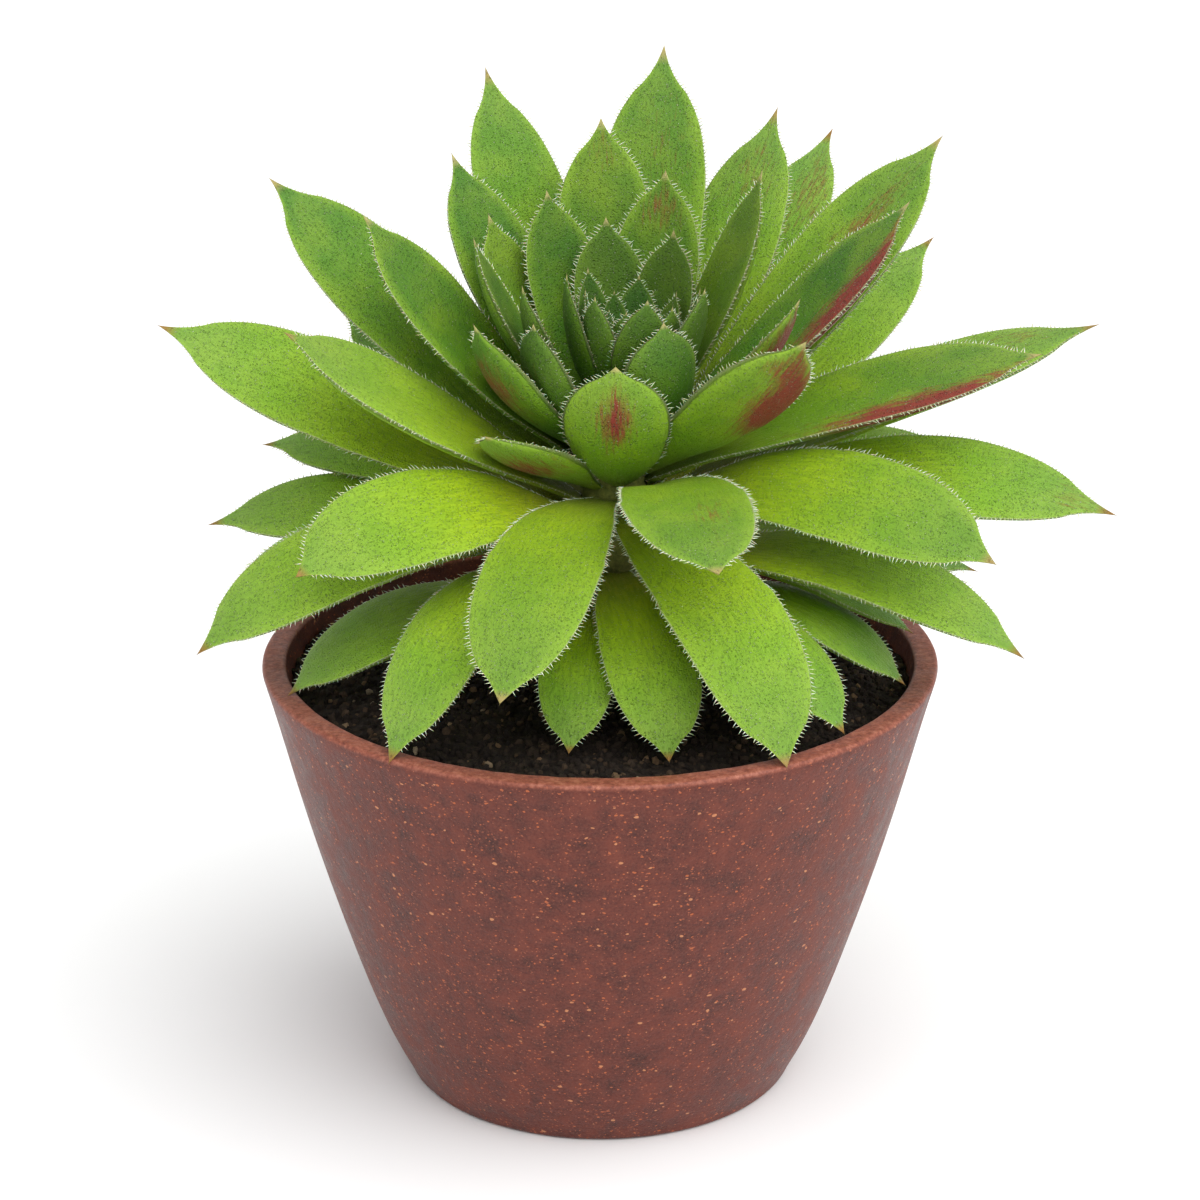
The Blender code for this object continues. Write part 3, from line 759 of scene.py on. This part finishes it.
# Both edges are paler, and the heart is the deepest green: its own young green, darkened further by painted
# shade in the hollow of the rosette
from_middle = maths(tree, "ABSOLUTE", across)
outer_part = between(tree, along, 0.3, 0.7)
edge_band = maths(tree, "MULTIPLY", between(tree, from_middle, 0.60, 1.0, 0.0, 0.45), outer_part)
green = mix(tree, edge_band, green, srgb(150, 188, 40))
# Painted shade: the innermost leaves are pushed towards a very dark green, as if shaded by the leaves round
# them
heart_green_and_shade = between(tree, age, 0.80, 1.0, 0.0, 0.60)
green = mix(tree, heart_green_and_shade, green, srgb(34, 74, 4))
# A waxy bloom greys the outer half
patches = between(tree, cloud, 0.30, 0.62, 0.55, 1.0)
bloom = maths(tree, "MULTIPLY", between(tree, along, 0.45, 1.0, 0.0, 0.20), patches)
bloom = maths(tree, "MULTIPLY", bloom, between(tree, age, 0.35, 0.9, 1.0, 0.25))
green = mix(tree, bloom, green, srgb(148, 184, 116))
# The red flush, broken up along the fibres
broken = maths(tree, "ADD", flush, between(tree, streak, 0.3, 0.7, -0.30, 0.30, False))
red = between(tree, broken, 0.15, 0.85, 0.0, 0.92)
red = maths(tree, "MULTIPLY", red, between(tree, flush, 0.02, 0.12))
green = mix(tree, red, green, mix(tree, streak, srgb(96, 10, 24), srgb(158, 30, 48)))
# The margin is a thin clear line, and the point a dry brown one
line = between(tree, from_middle, 0.97, 0.998)
green = mix(tree, maths(tree, "MULTIPLY", line, 0.55), green, srgb(206, 216, 160))
dry = between(tree, along, 0.972, 0.996)
point_colour = mix(tree, between(tree, age, 0.3, 0.8), srgb(150, 92, 44), srgb(190, 176, 120))
green = mix(tree, maths(tree, "MULTIPLY", dry, 0.85), green, point_colour)
# Tiny glandular hairs catch the light as pale dots
small_pores = add(tree, "ShaderNodeTexVoronoi", {"Vector": skin, "Scale": 3.4}).outputs["Distance"]
faint = between(tree, fine, 0.42, 0.60, 0.0, 0.6)
small_dots = maths(tree, "MULTIPLY", between(tree, small_pores, 0.22, 0.10), faint)
dots = maths(tree, "MULTIPLY", between(tree, pores, 0.20, 0.10), between(tree, fine, 0.40, 0.56))
dots = maths(tree, "MAXIMUM", dots, small_dots)
green = mix(tree, maths(tree, "MULTIPLY", dots, 0.55), green, srgb(226, 236, 200))
tree.links.new(green, shader.inputs["Base Color"])
tree.links.new(between(tree, streak, 0.3, 0.7, 0.36, 0.52), shader.inputs["Roughness"])
shader.inputs["Specular IOR Level"].default_value = 0.28
shader.inputs["Subsurface Weight"].default_value = 0.10
shader.inputs["Subsurface Radius"].default_value = (0.9, 1.0, 0.25)
shader.inputs["Subsurface Scale"].default_value = 1.6 * MM
shader.inputs["Sheen Weight"].default_value = 0.03
shader.inputs["Sheen Roughness"].default_value = 0.45
bump(tree, shader, (streak, 0.22), (between(tree, small_pores, 0.0, 0.5), 0.16), (dots, 0.10), (fine, 0.14))

hair_material, tree, shader = new_material("margin_hair")
shader.inputs["Roughness"].default_value = 0.35
shader.inputs["Subsurface Weight"].default_value = 0.3
shader.inputs["Subsurface Scale"].default_value = 0.3 * MM
uneven = noise_of(tree, millimetres(tree), 1.5)
clear = ramp(tree, uneven, (0.35, srgb(196, 208, 156)), (0.65, srgb(236, 238, 220)))
tree.links.new(clear, shader.inputs["Base Color"])

# Hairs: clear tapering spikes in a row along the margins, leaning towards the leaf's point
hairs, feed, result = new_group(
    "margin_hairs",
    {
        "Spacing": ("Float", 0.5 * MM),
        "Length": ("Float", 0.6 * MM),
        "Root radius": ("Float", 0.06 * MM),
        "Spread": ("Float", 0.5),
        "Seed": ("Int", 1),
        "Hair material": ("Material", None),
    },
)
edge = add(hairs, "GeometryNodeInputNamedAttribute", {"Name": "margin"}, data_type="FLOAT").outputs[0]
on_margin = add(hairs, "FunctionNodeCompare", {0: edge, 1: 0.99}, data_type="FLOAT", operation="GREATER_THAN")
margin_line = add(
    hairs, "GeometryNodeMeshToCurve", {"Mesh": feed.outputs["Geometry"], "Selection": on_margin.outputs[0]}
)
every = {"Curve": margin_line.outputs[0], "Length": feed.outputs["Spacing"]}
roots = add(hairs, "GeometryNodeCurveToPoints", every, mode="LENGTH")
spike = add(
    hairs, "GeometryNodeMeshCone",
    {
        "Vertices": 4,
        "Side Segments": 2,
        "Fill Segments": 1,
        "Radius Top": 0.0,
        "Radius Bottom": feed.outputs["Root radius"],
        "Depth": feed.outputs["Length"],
    },
    fill_type="TRIANGLE_FAN",
)
direction = add(hairs, "GeometryNodeInputNamedAttribute", {"Name": "outwards"}, data_type="FLOAT_VECTOR")
stray = add(hairs, "FunctionNodeRandomValue", data_type="FLOAT_VECTOR")
stray.inputs[0].default_value = (-1.0, -1.0, -1.0)
stray.inputs[1].default_value = (1.0, 1.0, 1.0)
hairs.links.new(feed.outputs["Seed"], stray.inputs["Seed"])
stray = vector_maths(hairs, "SCALE", stray.outputs[0], feed.outputs["Spread"])
direction = vector_maths(hairs, "ADD", direction.outputs[0], stray)
facing = add(hairs, "FunctionNodeAlignRotationToVector", {"Vector": direction}, axis="Z")
rows = add(
    hairs, "GeometryNodeInstanceOnPoints",
    {
        "Points": roots.outputs[0],
        "Instance": spike.outputs[0],
        "Rotation": facing.outputs[0],
        "Scale": random_of(hairs, (0.8, 0.8, 0.55), (1.15, 1.15, 1.25), 21, "FLOAT_VECTOR"),
    },
)
grown = add(hairs, "GeometryNodeRealizeInstances", {"Geometry": rows.outputs[0]})
rounded = add(hairs, "GeometryNodeSetShadeSmooth", {"Geometry": grown.outputs[0]})
coloured = add(
    hairs, "GeometryNodeSetMaterial",
    {"Geometry": rounded.outputs[0], "Material": feed.outputs["Hair material"]},
)
whole = add(hairs, "GeometryNodeJoinGeometry")
hairs.links.new(coloured.outputs[0], whole.inputs[0])
hairs.links.new(feed.outputs["Geometry"], whole.inputs[0])
hairs.links.new(whole.outputs[0], result.inputs[0])


def grow_hairs(obj, seed, spacing, length):
    obj.data.materials.append(hair_material)
    values = {"Spacing": spacing, "Length": length, "Root radius": length * HAIR_STOUTNESS, "Seed": seed}
    grow(obj, hairs, {**values, "Hair material": hair_material})


leaf_names = sorted(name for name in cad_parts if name.startswith("leaf_"))
for number, name in enumerate(leaf_names, start=1):
    rings, tip = frame_rings(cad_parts[name])
    age = (number - 1) / (len(leaf_names) - 1)
    leaf = blade(name, rings, tip, age, number, leaf_material)
    spacing = (HAIR_SPACING - HAIR_CLOSER * age) * MM
    grow_hairs(leaf, number, spacing, (HAIR_LENGTH + HAIR_LONGER * age) * MM)
    leaf.name = f"blade_{number:02d}"
    stands_for(leaf, name)

# Heart
# The youngest leaves, fleshy and edged with hairs like the rest. They are still packed in the tight spiral
# they grew in at the top of the stem, each cupped round the ones inside it.

HEART_LEAVES = 26
GOLDEN_TURN = 137.508  # degrees from each leaf to the next
# In millimetres: how much more the outermost young leaf has than the innermost, and what the innermost has
HEART_REACH = (8.6, 0.5)
HEART_WIDTH = (6.8, 1.7)
HEART_SHORTER = 0.42  # the share by which the innermost is shorter than the outermost
HEART_THICKNESS = 0.16  # as a share of the width
HEART_HAIR_SPACING = 0.38 * MM
HEART_HAIR_LENGTH = 0.65 * MM
# Along a young leaf: place, width and thickness as shares of the whole
HEART_STATIONS = (
    (0.0, 0.45, 0.5), (0.18, 0.7, 0.8), (0.38, 0.92, 1.0), (0.6, 1.0, 0.9), (0.78, 0.82, 0.7),
    (0.9, 0.48, 0.45), (0.96, 0.22, 0.3),
)

heart_low, heart_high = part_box("heart")
heart_foot = Vector(((heart_low[0] + heart_high[0]) / 2, (heart_low[1] + heart_high[1]) / 2, heart_low[2]))
heart_tall = heart_high[2] - heart_low[2]
heart_axis = axis
heart_side = Vector((1, 0, 0)).cross(heart_axis).normalized()
heart_front = heart_axis.cross(heart_side).normalized()


def heart_rings(order):
    """Rings and tip of a young leaf: order 0 is the outermost."""
    share = order / (HEART_LEAVES - 1)
    turn = math.radians(30 + GOLDEN_TURN * order)
    reach = (HEART_REACH[0] * (1 - share) ** 0.9 + HEART_REACH[1]) * MM
    tall = heart_tall * (1.0 - HEART_SHORTER * share)
    width = (HEART_WIDTH[0] * (1 - share) ** 0.75 + HEART_WIDTH[1]) * MM
    foot = Vector((1.3 * MM * (1 - share) + 0.2 * MM, -1.0 * MM + 4.5 * MM * share))
    top = Vector((reach, tall))
    bend = (foot + top) / 2 + Vector((2.6 * MM * (1 - 0.5 * share), -1.2 * MM))
    rings = []
    for s, wide, thick in HEART_STATIONS:
        spot = foot * (1 - s) ** 2 + bend * 2 * s * (1 - s) + top * s * s
        ahead = ((bend - foot) * (1 - s) + (top - bend) * s).normalized()
        half = width / 2 * wide
        ring = []
        for u, depth in ((-1, 0), (1, 0), (0, 0), (0, 1)):
            swing = turn + u * half / max(spot.x + 0.8 * MM, half * 0.75)
            out = heart_side * math.sin(swing) + heart_front * math.cos(swing)
            over = out * -ahead.y + heart_axis * ahead.x
            down = over * depth * thick * width * HEART_THICKNESS
            ring.append(heart_foot + out * spot.x + heart_axis * spot.y - down)
        rings.append(ring)
    out = heart_side * math.sin(turn) + heart_front * math.cos(turn)
    return rings, heart_foot + out * top.x + heart_axis * top.y


for order in range(HEART_LEAVES):
    rings, tip = heart_rings(order)
    name = f"heart_leaf_{order + 1:02d}"
    leaf = blade(name, rings, tip, 1.0, 100 + order, leaf_material)
    grow_hairs(leaf, 100 + order, HEART_HAIR_SPACING, HEART_HAIR_LENGTH)
    stands_for(leaf, "heart")

# Studio
# A plain pale floor under a broad soft light from above, the front and the right, with a weak fill from the
# left. The camera looks down a little from the front.

FLOOR_HALF = 3.0
SUN_POWER = 3.0
SUN_SPREAD = math.radians(80)
SUN_GOES = (-0.40, 0.38, -0.85)
FILL_PLACE = (-0.8, -0.5, 0.5)
FILL_AIM = (0, 0, 0.07)
FILL_WIDTH = 0.8
FILL_POWER = 1.5
SKY_STRENGTH = 0.58
CAMERA_RISE = math.radians(20.6)
CAMERA_AWAY = 0.45
AIM_SHARE = 0.51  # of the plant's height
LENS = 107.5

floor_material, tree, shader = new_material("pale_floor")
shader.inputs["Base Color"].default_value = (0.92, 0.92, 0.92, 1.0)
shader.inputs["Roughness"].default_value = 0.9
corners = [(x * FLOOR_HALF, y * FLOOR_HALF, 0) for x, y in ((-1, -1), (1, -1), (1, 1), (-1, 1))]
floor = new_piece("floor", corners, [(0, 1, 2, 3)], floor_material)

sun_light = bpy.data.lights.new("sky_panel", "SUN")
sun_light.energy = SUN_POWER
sun_light.angle = SUN_SPREAD
sun = bpy.data.objects.new("sky_panel", sun_light)
sun.rotation_euler = Vector(SUN_GOES).to_track_quat("-Z", "Y").to_euler()
bpy.context.scene.collection.objects.link(sun)

fill_light = bpy.data.lights.new("fill", "AREA")
fill_light.shape = "SQUARE"
fill_light.size = FILL_WIDTH
fill_light.energy = FILL_POWER
fill_light.color = (0.95, 0.98, 1.0)
fill = bpy.data.objects.new("fill", fill_light)
fill.location = FILL_PLACE
fill.rotation_euler = (Vector(FILL_AIM) - Vector(FILL_PLACE)).to_track_quat("-Z", "Y").to_euler()
bpy.context.scene.collection.objects.link(fill)

sky = bpy.data.worlds.new("studio")
sky.use_nodes = True
sky.node_tree.nodes["Background"].inputs["Color"].default_value = (1.0, 1.0, 1.0, 1.0)
sky.node_tree.nodes["Background"].inputs["Strength"].default_value = SKY_STRENGTH
bpy.context.scene.world = sky
bpy.context.scene.view_settings.view_transform = "Standard"

middle = Vector((0.0, 0.0, cad_high[2] * AIM_SHARE))
lens = bpy.data.cameras.new("camera")
lens.lens = LENS
lens.sensor_width = 36.0
lens.clip_start = 0.01
camera = bpy.data.objects.new("camera", lens)
camera.location = middle + Vector((0.0, -math.cos(CAMERA_RISE), math.sin(CAMERA_RISE))) * CAMERA_AWAY
camera.rotation_euler = (math.pi / 2 - CAMERA_RISE, 0.0, 0.0)
bpy.context.scene.collection.objects.link(camera)
bpy.context.scene.camera = camera
